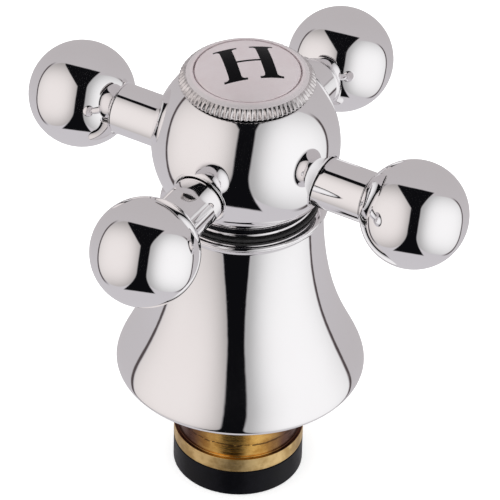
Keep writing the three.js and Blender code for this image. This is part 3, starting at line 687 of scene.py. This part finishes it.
class TAP_OT_brass_body(bpy.types.Operator):
    """Turn the brass body, with its flange, neck, windows, pipe thread and hexagon"""
    bl_idname = "tap.make_brass_body"
    bl_label = "Brass Body"

    def execute(self, context):
        size = context.scene.tap_body
        gap = 0.1 * MM
        foot, top = low("valve_body"), high("valve_body")
        flange = radius("base_seal")
        flange_top = foot + size.flange_height
        ring_middle = middle("neck_o_ring")
        ring_half = (high("neck_o_ring") - low("neck_o_ring")) / 2 + 0.15 * MM
        ring_seat = radius("neck_o_ring") - 2 * ring_half
        thread_foot = ring_middle + 1.9 * MM
        hex_foot = thread_foot + size.thread_height + 0.6 * MM
        hex_top = hex_foot + size.hex_height
        column_top = low("shroud_seat_ring") - gap
        gland_top = low("stop_washer") - 3 * gap
        shaft_foot = high("thrust_washer") + gap
        step = high("turning_disc") + gap
        root = size.neck - size.thread_depth
        mark_depth, mark_half = 0.1 * MM, 0.12 * MM
        profile = [
            (size.chamber, foot), (flange, foot), (flange, flange_top), (size.neck, flange_top),
            (size.neck, TOOL_MARK - mark_half), (size.neck - mark_depth, TOOL_MARK),
            (size.neck, TOOL_MARK + mark_half), (size.neck, ring_middle - ring_half),
            (ring_seat, ring_middle - ring_half), (ring_seat, ring_middle + ring_half),
            (size.neck, ring_middle + ring_half), (root, thread_foot), (root, hex_foot),
            (size.neck, hex_foot), (size.neck, hex_top), (size.column, hex_top),
            (size.column, column_top), (size.gland, column_top), (size.gland, gland_top),
            (size.bore, gland_top), (size.bore, shaft_foot), (size.throat, shaft_foot),
            (size.throat, step), (size.chamber, step),
        ]
        bm = soften(spun(profile), 0.15 * MM, least=50)
        body = piece("brass_body", bm, FIXED, ["valve_body"], "polished_brass")
        self.cut_windows(body, size, step, flange)
        self.add_hexagon(body, size, hex_foot, hex_top)
        self.add_thread(body, size, thread_foot)
        self.add_lugs(body, size, gland_top, top)
        self.dull_flange(body, flange_top)
        return {"FINISHED"}

    def cut_windows(self, body, size, step, flange):
        """Cuts one rounded slot right through, which opens a window on each side."""
        level = step + 0.3 * MM + size.window_height / 2
        window = bmesh.new()
        bmesh.ops.create_cube(window, size=1)
        through = (4 * flange, size.window_width, size.window_height)
        bmesh.ops.scale(window, vec=through, verts=window.verts)
        bmesh.ops.translate(window, vec=(0, 0, level), verts=window.verts)
        edges = [
            edge for edge in window.edges
            if abs(edge.verts[0].co.x - edge.verts[1].co.x) > flange
        ]
        bmesh.ops.bevel(
            window, geom=edges, offset=0.9 * MM, offset_type="OFFSET", segments=6,
            profile=0.5, affect="EDGES", material=-1,
        )
        carve(body, window)

    def add_hexagon(self, body, size, foot, top):
        corner = size.hex_flats / 2 / math.cos(math.pi / 6)
        place = Matrix.Translation((0, 0, (foot + top) / 2))
        nut = bmesh.new()
        bmesh.ops.create_cone(
            nut, cap_ends=True, segments=6, radius1=corner, radius2=corner, depth=top - foot,
            matrix=place @ Matrix.Rotation(math.pi / 6, 4, "Z"),
        )
        inner, outer, chamfer = corner - 1.1 * MM, corner + 0.1 * MM, 0.9 * MM
        rounding = spun([
            (0, foot), (inner, foot), (outer, foot + chamfer),
            (outer, top - chamfer), (inner, top), (0, top),
        ])
        shape = thing_of("hexagon", nut)
        carve(shape, rounding, "INTERSECT")
        bore = [(0, foot - MM), (size.column, foot - MM), (size.column, top + MM), (0, top + MM)]
        carve(shape, spun(bore))
        carve(body, shape, "UNION")

    def add_thread(self, body, size, foot):
        """Sweeps a pointed ridge round the neck as a helix."""
        turns = int(size.thread_height / size.pitch) - 0.35
        steps = int(96 * turns)
        root = size.neck - size.thread_depth - 0.1 * MM
        crest = size.neck - 0.05 * MM
        half, half_crest = size.pitch * 0.46, 0.12 * MM
        start = foot + half
        ridge = (
            (root, 0, start - half), (crest, 0, start - half_crest),
            (crest, 0, start + half_crest), (root, 0, start + half),
        )
        bm = bmesh.new()
        face = bm.faces.new([bm.verts.new(corner) for corner in ridge])
        bmesh.ops.spin(
            bm, geom=[face], axis=(0, 0, 1), cent=(0, 0, 0), angle=2 * math.pi * turns,
            steps=steps, dvec=(0, 0, size.pitch * turns / steps),
        )
        bmesh.ops.recalc_face_normals(bm, faces=bm.faces)
        bm.from_mesh(body.data)
        bm.to_mesh(body.data)
        bm.free()
        body.data.shade_smooth()
        body.data.set_sharp_from_angle(angle=SHARP_ANGLE)

    def add_lugs(self, body, size, foot, top):
        """Stands the two stop lugs on the gland, one at each end of the quarter turn."""
        for start in (-34, 104):
            lug = sector(size.gland - 1.9 * MM, size.gland, foot - 0.3 * MM, top, start, 20, 10)
            carve(body, lug, "UNION")

    def dull_flange(self, body, flange_top):
        """Gives the flange and what stands above the neck the duller turned finish."""
        body.data.materials.append(FINISHES["turned_brass"])
        for face in body.data.polygons:
            if not flange_top - 0.05 * MM <= face.center.z <= flange_top + 16 * MM:
                face.material_index = 1


class TAP_OT_seals(bpy.types.Operator):
    """Mould the rubber seals and rings and the nylon wear washer"""
    bl_idname = "tap.make_seals"
    bl_label = "Seals"

    def execute(self, context):
        for node, bore, round_by, body, slot, name in (
            ("base_seal", 7.0, 0.22, FIXED, "black_rubber", "rubber_base_seal"),
            ("seat_seal", 4.6, 0.3, FIXED, "black_rubber", "rubber_seat_seal"),
            ("wear_washer", 11.0, 0.1, FIXED, "black_nylon", "nylon_wear_washer"),
            ("dust_ring", 11.15, 0.15, TURNING, "black_rubber", "rubber_dust_ring"),
        ):
            inner, outer, foot, top = bore * MM, radius(node), low(node), high(node)
            bm = spun([(inner, foot), (outer, foot), (outer, top), (inner, top)])
            piece(name, soften(bm, round_by * MM, 4), body, [node], slot)
        for node, body, name in (
            ("neck_o_ring", FIXED, "rubber_neck_ring"),
            ("cap_o_ring", TURNING, "rubber_cap_ring"),
        ):
            section = (high(node) - low(node)) / 2
            bm = spun(arc((radius(node) - section, middle(node)), section, 0, 360, 24)[:-1])
            piece(name, bm, body, [node], "black_rubber")
        return {"FINISHED"}


class TAP_OT_hub(bpy.types.Operator):
    """Spin the spherical hub with its collar and set a boss round each arm"""
    bl_idname = "tap.make_hub"
    bl_label = "Hub"

    def execute(self, context):
        size = context.scene.tap_handle
        foot = low("handle_hub")
        centre = foot + size.centre_rise
        skirt = foot + size.skirt
        collar_top = foot + size.collar_height
        first = math.degrees(math.asin((skirt - centre) / size.sphere))
        last = math.degrees(math.acos(size.crown / size.sphere))
        sphere = arc((0, centre), size.sphere, first, last, 64)
        crown = sphere[-1][1]
        well = radius("index_cap") - 1.7 * MM
        well_floor = crown - 4 * MM
        screw_seat, screw_hole = low("screw_washer") - 0.1 * MM, 2.4 * MM
        bush_foot, bush_top = low("spline_bush"), high("spline_bush") + 0.1 * MM
        pocket, bush_bore = 7.2 * MM, 6.15 * MM
        profile = [
            (size.mouth, foot), (size.collar, foot), (size.collar, collar_top),
            (size.groove, collar_top), (size.groove, skirt), *sphere,
            (well, crown), (well, well_floor), (pocket, well_floor), (pocket, screw_seat),
            (screw_hole, screw_seat), (screw_hole, bush_top), (bush_bore, bush_top),
            (bush_bore, bush_foot), (size.mouth, bush_foot),
        ]
        shell = soften(spun(profile), 0.16 * MM)
        hub = piece("hub_shell", shell, TURNING, ["handle_hub"], "chrome_plate")
        tilt = math.asin((middle("ball_end_1") - centre) / size.sphere)
        for index in range(ARMS):
            self.add_boss(hub, size, index, centre, tilt)
            self.sink_recess(hub, size, index)
        return {"FINISHED"}

    def add_boss(self, hub, size, index, centre, tilt):
        foot = 12 * MM
        top = math.sqrt(size.sphere ** 2 - size.boss ** 2) + size.boss_rise
        boss = spun([(0, foot), (size.boss, foot), (size.boss, top), (0, top)], ARM_STEPS)
        soften(boss, 0.22 * MM, 5)
        square = Matrix.Rotation(math.pi / 2 - tilt, 4, "Y")
        lift = Matrix.Translation((0, 0, centre))
        bmesh.ops.transform(boss, matrix=lift @ arm_turn(index) @ square, verts=boss.verts)
        carve(hub, boss, "UNION")

    def sink_recess(self, hub, size, index):
        """Cuts the recess that an arm stands in and the socket for its spigot."""
        socket, socket_foot = 3.15 * MM, size.arm_start - 4.3 * MM
        outside = size.sphere + 2 * MM
        recess = spun([
            (0, socket_foot), (socket, socket_foot), (socket, size.arm_start),
            (size.recess, size.arm_start), (size.recess, outside), (0, outside),
        ], ARM_STEPS)
        carve(hub, along_arm(recess, index))


class TAP_OT_arms(bpy.types.Operator):
    """Turn the four arms and their ball ends"""
    bl_idname = "tap.make_arms"
    bl_label = "Arms and Balls"

    def execute(self, context):
        size = context.scene.tap_handle
        foot = size.reach - math.sqrt(size.ball ** 2 - size.arm ** 2)
        start, end = size.arm_start + 0.35 * MM, foot - 0.1 * MM
        spigot, spigot_foot = 3 * MM, size.arm_start - 4 * MM
        pin, pin_end = 2.6 * MM, end + 5 * MM
        pin_hole, hole_end = 2.75 * MM, foot + 5.3 * MM
        first = 180 - math.degrees(math.asin(size.arm / size.ball))
        skin = [(up, across) for across, up in arc((size.reach, 0), size.ball, first, 0, 72)]
        skin[-1] = (0, skin[-1][1])
        arm_profile = [
            (0, spigot_foot), (spigot, spigot_foot), (spigot, start), (size.arm, start),
            (size.arm, end), (pin, end), (pin, pin_end), (0, pin_end),
        ]
        ball_profile = [(0, hole_end), (pin_hole, hole_end), (pin_hole, foot), *skin]
        for index in range(ARMS):
            number = index + 1
            arm = along_arm(soften(spun(arm_profile, ARM_STEPS), 0.16 * MM), index)
            piece(f"arm_{number}", arm, TURNING, [f"handle_arm_{number}"], "chrome_plate")
            ball = soften(spun(ball_profile, BALL_STEPS), 0.14 * MM, least=45)
            along_arm(ball, index)
            piece(f"ball_{number}", ball, TURNING, [f"ball_end_{number}"], "chrome_plate")
        return {"FINISHED"}


class TAP_OT_index_cap(bpy.types.Operator):
    """Knurl the index cap, inset its disc and fill the letter"""
    bl_idname = "tap.make_index_cap"
    bl_label = "Index Cap"

    def execute(self, context):
        size = context.scene.tap_cap
        self.make_cap(size)
        self.make_disc(size)
        return {"FINISHED"}

    def make_cap(self, size):
        outer = radius("index_cap")
        spigot_foot = low("index_cap")
        foot = spigot_foot + 4.5 * MM
        top = foot + size.height
        recess = radius("index_disc") + size.groove
        floor = low("index_disc") - 0.1 * MM
        spigot, rebate, hollow = 9.4 * MM, 10.9 * MM, 7.4 * MM
        rebate_top, chamfer = foot + 0.5 * MM, 0.12 * MM
        slope = Vector((outer - size.shoulder, size.shoulder_drop - size.edge_drop))
        start = Vector((size.shoulder, top - size.shoulder_drop))
        swell = Vector((-slope.y, slope.x)).normalized() * 0.12 * MM
        ribs = [
            start + slope * part + swell * math.sin(math.pi * part)
            for part in (0.75, 0.5, 0.25, 0.03)
        ]
        profile = [
            (spigot, spigot_foot), (spigot, rebate_top), (rebate, rebate_top), (rebate, foot),
            (outer - chamfer, foot), (outer, foot + chamfer), (outer, top - size.edge_drop),
            *[tuple(point) for point in ribs], tuple(start),
            (size.land + 0.1 * MM, top - 0.07 * MM), (size.land, top), (recess, top),
            (recess, floor), (hollow, floor), (hollow, spigot_foot),
        ]
        bm = spun(profile, 6 * size.teeth)
        self.knurl(bm, size, outer, rebate)
        cap = piece("cap_knurled", bm, TURNING, ["index_cap"], "satin_chrome")
        cap.data.materials.append(FINISHES["knurled_chrome"])
        for face in cap.data.polygons:
            outside = face.center.xy.length > size.shoulder - MM
            if outside and face.center.z < top - size.shoulder_drop:
                face.material_index = 1

    def knurl(self, bm, size, outer, rebate):
        """Draws the rim in between its ribs, by groups of points that move alike."""
        alike = {}
        for vert in bm.verts:
            across = vert.co.xy.length
            inside = across <= size.shoulder + 0.01 * MM
            if inside or abs(across - rebate) < 0.05 * MM:
                continue
            wave = 0.5 + 0.5 * math.cos(size.teeth * math.atan2(vert.co.y, vert.co.x))
            reach = min(1, 0.25 + (across - size.shoulder) / (outer - size.shoulder))
            shrink = 1 - size.tooth_depth * reach * wave ** 1.5 / across
            alike.setdefault(round(shrink, 5), []).append(vert)
        for shrink, verts in alike.items():
            bmesh.ops.scale(bm, vec=(shrink, shrink, 1), verts=verts)
        bm.normal_update()

    def make_disc(self, size):
        """Makes the domed disc and the letter sunk into it, cut a little below the dome."""
        outer, foot, top = radius("index_disc"), low("index_disc"), high("index_disc")
        ball = (outer ** 2 + size.rise ** 2) / (2 * size.rise)
        dome = arc((0, top - ball), ball, 90 - math.degrees(math.asin(outer / ball)), 90, 24)
        dome[-1] = (0, top)
        bm = soften(spun([(0, foot), (outer, foot), *dome]), 0.1 * MM)
        disc = piece("cap_disc", bm, TURNING, ["index_disc"], "satin_chrome")
        floor = dome[0][1] + 0.3 * MM
        carve(disc, self.letter(size, floor, top + MM, 0.04 * MM))
        fill = self.letter(size, floor, top + MM, 0)
        letter = piece("letter_hot", fill, TURNING, ["hot_letter"], "black_enamel")
        under = [(across, up - 0.03 * MM) for across, up in reversed(dome)]
        carve(letter, spun([*under, (outer, top + 2 * MM), (0, top + 2 * MM)]))

    def letter(self, size, foot, top, grow):
        """A capital H with bracketed serifs: one stem is outlined and mirrored into the other."""
        stem, serif = size.stem / 2 + grow, size.serif / 2 + grow
        up, thin = size.letter_height / 2 + grow, size.serif_height + 2 * grow
        bar = size.bar / 2 + grow
        centre = (size.letter_width - size.serif) / 2
        outline = [
            (-serif, up), (-serif, up - thin), (-stem, up - thin), (-stem, bar), (-centre, bar),
            (-centre, -bar), (-stem, -bar), (-stem, thin - up), (-serif, thin - up), (-serif, -up),
            (serif, -up), (serif, thin - up), (stem, thin - up),
            (stem, up - thin), (serif, up - thin), (serif, up),
        ]
        bm = bmesh.new()
        corners = [bm.verts.new((across + centre, along, foot)) for across, along in outline]
        bm.faces.new(corners)
        brackets = [corners[2], corners[7], corners[12], corners[13]]
        bmesh.ops.bevel(
            bm, geom=brackets, offset=size.bracket, offset_type="OFFSET", segments=6,
            profile=0.5, affect="VERTICES", material=-1,
        )
        whole = bm.faces[:] + bm.edges[:] + bm.verts[:]
        bmesh.ops.mirror(bm, geom=whole, axis="X", merge_dist=1e-6)
        bmesh.ops.remove_doubles(bm, verts=bm.verts, dist=1e-6)
        wall = bmesh.ops.extrude_face_region(bm, geom=bm.faces[:])
        raised = [item for item in wall["geom"] if isinstance(item, bmesh.types.BMVert)]
        bmesh.ops.translate(bm, vec=(0, 0, top - foot), verts=raised)
        turned = Matrix.Rotation(size.turn, 4, "Z")
        moved = Matrix.Translation((size.shift_x, size.shift_y, 0))
        bmesh.ops.transform(bm, matrix=moved @ turned, verts=bm.verts)
        bmesh.ops.recalc_face_normals(bm, faces=bm.faces)
        return bm


class TAP_OT_discs(bpy.types.Operator):
    """Press the two ceramic discs with their ports"""
    bl_idname = "tap.make_discs"
    bl_label = "Ceramic Discs"

    def execute(self, context):
        self.disc("fixed_disc", "ceramic_fixed", FIXED, 0)
        self.disc("turning_disc", "ceramic_turning", TURNING, 90)
        return {"FINISHED"}

    def disc(self, node, name, body, port_angle):
        """A disc with two opposite ports, the first centred on an angle in degrees."""
        outer, foot, top = radius(node), low(node), high(node)
        blank = spun([(0, foot), (outer, foot), (outer, top), (0, top)], DISC_STEPS)
        disc = piece(name, soften(blank, 0.2 * MM), body, [node], "white_ceramic")
        half_sweep = 38
        for angle in (port_angle, port_angle + 180):
            port = sector(
                1.9 * MM, 5.8 * MM, foot - MM, top + MM, angle - half_sweep, 2 * half_sweep, 24
            )
            carve(disc, port)


class TAP_OT_inner_works(bpy.types.Operator):
    """Finish the pieces that stay as the frame has them, such as the spindle, screw and nut"""
    bl_idname = "tap.finish_inner_works"
    bl_label = "Inner Works"

    def execute(self, context):
        replaced = {name for thing in bpy.data.objects for name in thing.get("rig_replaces", [])}
        for subpart in frame["record"]["subparts"]:
            if subpart["node"] in replaced:
                continue
            node = frame["nodes"][subpart["node"]]
            node.data.materials.clear()
            node.data.materials.append(FINISHES[subpart["material_slot"]])
        return {"FINISHED"}


# ---- Stage ----------------------------------------------------------------------------------


class TAP_OT_stage(bpy.types.Operator):
    """Set the pale floor, the two light panels, the soft top light and the camera"""
    bl_idname = "tap.set_stage"
    bl_label = "Stage"

    def execute(self, context):
        size = context.scene.tap_studio
        context.scene.view_settings.view_transform = "Standard"
        self.lay_floor(size)
        self.light_room(context, size)
        self.hang_top_light(context)
        self.place_camera(context, size)
        return {"FINISHED"}

    def lay_floor(self, size):
        bm = bmesh.new()
        bmesh.ops.create_grid(bm, x_segments=1, y_segments=1, size=3)
        bmesh.ops.translate(bm, vec=(0, 0, -0.05 * MM), verts=bm.verts)
        floor = thing_of("studio_floor", bm)
        floor.visible_glossy = False
        material, tree, shader = finish_of("Pale Floor", 0.0, specular=0.1)
        cloud = noise(tree, place_on(tree), 6.0)
        pale = tuple(size.floor)
        tint = blend(tree, cloud, pale, tuple(0.985 * channel for channel in pale))
        tree.links.new(tint, shader.inputs["Base Color"])
        tree.links.new(tint, shader.inputs["Emission Color"])
        shader.inputs["Emission Strength"].default_value = 0.5
        shader.inputs["Roughness"].default_value = 0.9
        floor.data.materials.append(material)

    def light_room(self, context, size):
        """Paints the room that the chrome mirrors: two panels beside a dark gap, grey beyond.

        A direction is laid out as it shows on a polished ball that is seen from the camera: across
        and up run from -1 to 1 over the ball.
        """
        world = bpy.data.worlds.new("Studio Room")
        world.use_nodes = True
        context.scene.world = world
        tree = world.node_tree
        tree.nodes.clear()
        x, y = self.ball_place(tree, size)
        side = maths(tree, "ABSOLUTE", x)
        right = ramp(tree, x, -0.01, 0.01, kind="LINEAR")
        beside_gap = self.beside_gap(tree, side, y, right)
        centre_x, centre_y, half_width, half_height, squareness = (
            self.by_side(tree, right, pair)
            for pair in (
                PANEL_CENTRE_X, PANEL_CENTRE_Y, PANEL_HALF_WIDTH, PANEL_HALF_HEIGHT,
                PANEL_SQUARENESS,
            )
        )
        from_x = maths(tree, "SUBTRACT", x, centre_x)
        from_y = maths(tree, "SUBTRACT", y, centre_y)
        panel_edge = self.oval(tree, from_x, from_y, half_width, half_height, squareness)
        in_panel = maths(tree, "MULTIPLY", ramp(tree, panel_edge, 1.0, 0.95), beside_gap)
        ceiling = maths(tree, "MULTIPLY_ADD", x, GAP_TOP_SLOPE, GAP_TOP)
        in_height = maths(
            tree, "MULTIPLY",
            ramp(tree, maths(tree, "SUBTRACT", y, ceiling), 0.008, -0.008),
            ramp(tree, y, *GAP_BOTTOM),
        )
        in_gap = maths(tree, "MULTIPLY", in_height, maths(tree, "SUBTRACT", 1.0, beside_gap))
        band = maths(
            tree, "MULTIPLY",
            ramp(tree, panel_edge, *OUTLINE_INNER), ramp(tree, panel_edge, *OUTLINE_OUTER),
        )
        evened = maths(tree, "MULTIPLY_ADD", right, SIDE_SHIFT, side)
        outline = maths(
            tree, "MULTIPLY",
            band, ramp(tree, maths(tree, "ABSOLUTE", evened), *OUTLINE_SIDES),
        )
        from_glow = self.oval(
            tree, maths(tree, "SUBTRACT", evened, GLOW_CENTRE[0]),
            maths(tree, "SUBTRACT", y, GLOW_CENTRE[1]), *GLOW_SIZE, 2.6,
        )
        glow = ramp(tree, from_glow, -0.15, 1.2, 1.0, size.panel_edge)
        panel = blend(tree, right, tuple(size.left_panel), tuple(size.right_panel))
        lit = blend(tree, glow, (0, 0, 0), panel)
        below, above = tuple(size.room_below), tuple(size.room_above)
        room = blend(tree, in_panel, blend(tree, ramp(tree, y, -0.9, 0.9), below, above), lit)
        room = blend(tree, in_gap, room, GAP_BLACK)
        room = blend(tree, maths(tree, "MULTIPLY", outline, 0.92), room, OUTLINE_DARK)
        self.split_by_ray(tree, room)

    def ball_place(self, tree, size):
        """Where a direction shows on the polished ball, with the room's lean taken out."""
        aim = tree.nodes.new("ShaderNodeTexCoord").outputs["Generated"]
        toward, across, up = (self.along(tree, aim, axis) for axis in self.view_axes(size))
        doubled = maths(tree, "MULTIPLY_ADD", toward, 2.0, 2.0)
        spread = maths(tree, "SQRT", maths(tree, "MAXIMUM", doubled, 0.0001))
        across = maths(tree, "DIVIDE", across, spread)
        up = maths(tree, "DIVIDE", up, spread)
        return (
            turned_across(tree, across, up, -ROOM_LEAN), turned_across(tree, up, across, ROOM_LEAN)
        )

    def beside_gap(self, tree, side, y, right):
        """0 in the dark gap between the panels and 1 beside it. The gap flares at both ends."""
        head = maths(
            tree, "POWER",
            ramp(tree, y, *GAP_HEAD_SPAN, kind="LINEAR"), self.by_side(tree, right, GAP_HEAD_BEND),
        )
        foot = maths(
            tree, "POWER", ramp(tree, y, *GAP_FOOT_SPAN, kind="LINEAR"), GAP_FOOT_BEND
        )
        half_width = maths(
            tree, "MULTIPLY_ADD", head, self.by_side(tree, right, GAP_HEAD_FLARE),
            maths(tree, "MULTIPLY_ADD", foot, GAP_FOOT_FLARE, GAP_HALF_WIDTH),
        )
        return ramp(tree, maths(tree, "SUBTRACT", side, half_width), -0.012, 0.014)

    def by_side(self, tree, right, pair):
        """The first of a pair on the left and the second on the right."""
        return maths(tree, "MULTIPLY_ADD", right, pair[1] - pair[0], pair[0])

    def view_axes(self, size):
        """The camera's direction from the tap, its right and its up, as unit vectors."""
        turn, level = size.azimuth, math.cos(size.elevation)
        facing = Vector((math.sin(turn) * level, -math.cos(turn) * level, math.sin(size.elevation)))
        right = Vector((math.cos(turn), math.sin(turn), 0))
        return facing, right, facing.cross(right)

    def along(self, tree, aim, axis):
        """How far a direction goes along an axis."""
        node = tree.nodes.new("ShaderNodeVectorMath")
        node.operation = "DOT_PRODUCT"
        tree.links.new(aim, node.inputs[0])
        node.inputs[1].default_value = axis
        return node.outputs["Value"]

    def oval(self, tree, x, y, half_width, half_height, squareness):
        """Under 1 inside a soft-cornered oval, over 1 outside it."""
        terms = []
        for value, half in ((x, half_width), (y, half_height)):
            part = maths(tree, "ABSOLUTE", maths(tree, "DIVIDE", value, half))
            terms.append(maths(tree, "POWER", part, squareness))
        return maths(tree, "ADD", *terms)

    def split_by_ray(self, tree, room):
        """Mirrors see the room; matt surfaces are lit evenly; the camera sees plain white."""
        path = tree.nodes.new("ShaderNodeLightPath")
        matt = blend(tree, path.outputs["Is Glossy Ray"], (1.0, 1.0, 1.0), room)
        shown = blend(tree, path.outputs["Is Camera Ray"], matt, (1.0, 1.0, 1.0))
        background = tree.nodes.new("ShaderNodeBackground")
        output = tree.nodes.new("ShaderNodeOutputWorld")
        tree.links.new(shown, background.inputs["Color"])
        tree.links.new(background.outputs[0], output.inputs["Surface"])

    def hang_top_light(self, context):
        """A broad soft light overhead that is left out of mirror reflections."""
        place = Vector((-0.25, -0.35, 1.1))
        light = bpy.data.lights.new("top_light", "AREA")
        light.shape = "DISK"
        light.size = 1.2
        light.energy = 3.0
        lamp = bpy.data.objects.new("top_light", light)
        lamp.location = place
        lamp.rotation_euler = place.to_track_quat("Z", "Y").to_euler()
        lamp.visible_glossy = False
        lamp.visible_camera = False
        context.scene.collection.objects.link(lamp)

    def place_camera(self, context, size):
        facing, right, above = self.view_axes(size)
        data = bpy.data.cameras.new("studio_camera")
        data.sensor_width = 36
        data.lens = 345.0
        data.shift_x = 0.0134
        data.shift_y = -0.0204
        data.clip_start = 0.01
        data.clip_end = 20
        camera = bpy.data.objects.new("studio_camera", data)
        tilt = Matrix.Rotation(size.roll, 3, facing)
        axes = Matrix((tilt @ right, tilt @ above, facing)).transposed()
        place = Matrix.Translation(Vector((0, 0, size.aim)) + facing * size.distance)
        camera.matrix_world = place @ axes.to_4x4()
        context.scene.collection.objects.link(camera)
        context.scene.camera = camera


# ---- Panel and registration --------------------------------------------------------------------

PIECES = (
    TAP_OT_shroud, TAP_OT_brass_body, TAP_OT_seals, TAP_OT_discs, TAP_OT_hub, TAP_OT_arms,
    TAP_OT_index_cap, TAP_OT_inner_works, TAP_OT_stage,
)
SETTINGS = {
    "tap_shroud": ShroudSizes,
    "tap_body": BodySizes,
    "tap_handle": HandleSizes,
    "tap_cap": CapSizes,
    "tap_studio": StudioSettings,
}


class TAP_PT_sidebar(bpy.types.Panel):
    """Sizes and steps of the tap head"""
    bl_idname = "TAP_PT_sidebar"
    bl_label = "Tap Head"
    bl_space_type = "VIEW_3D"
    bl_region_type = "UI"
    bl_category = "Tap Head"

    def draw(self, context):
        for operator in PIECES:
            self.layout.operator(operator.bl_idname)
        for name, group in SETTINGS.items():
            box = self.layout.box()
            for field in group.__annotations__:
                box.prop(getattr(context.scene, name), field)


def register():
    for item in (*SETTINGS.values(), *PIECES, TAP_PT_sidebar):
        bpy.utils.register_class(item)
    for name, group in SETTINGS.items():
        setattr(bpy.types.Scene, name, bpy.props.PointerProperty(type=group))


def unregister():
    for name in SETTINGS:
        delattr(bpy.types.Scene, name)
    for item in reversed((*SETTINGS.values(), *PIECES, TAP_PT_sidebar)):
        bpy.utils.unregister_class(item)


def main():
    register()
    make_finishes()
    for operator in PIECES:
        group, name = operator.bl_idname.split(".")
        getattr(getattr(bpy.ops, group), name)()


if __name__ == "__main__":
    main()
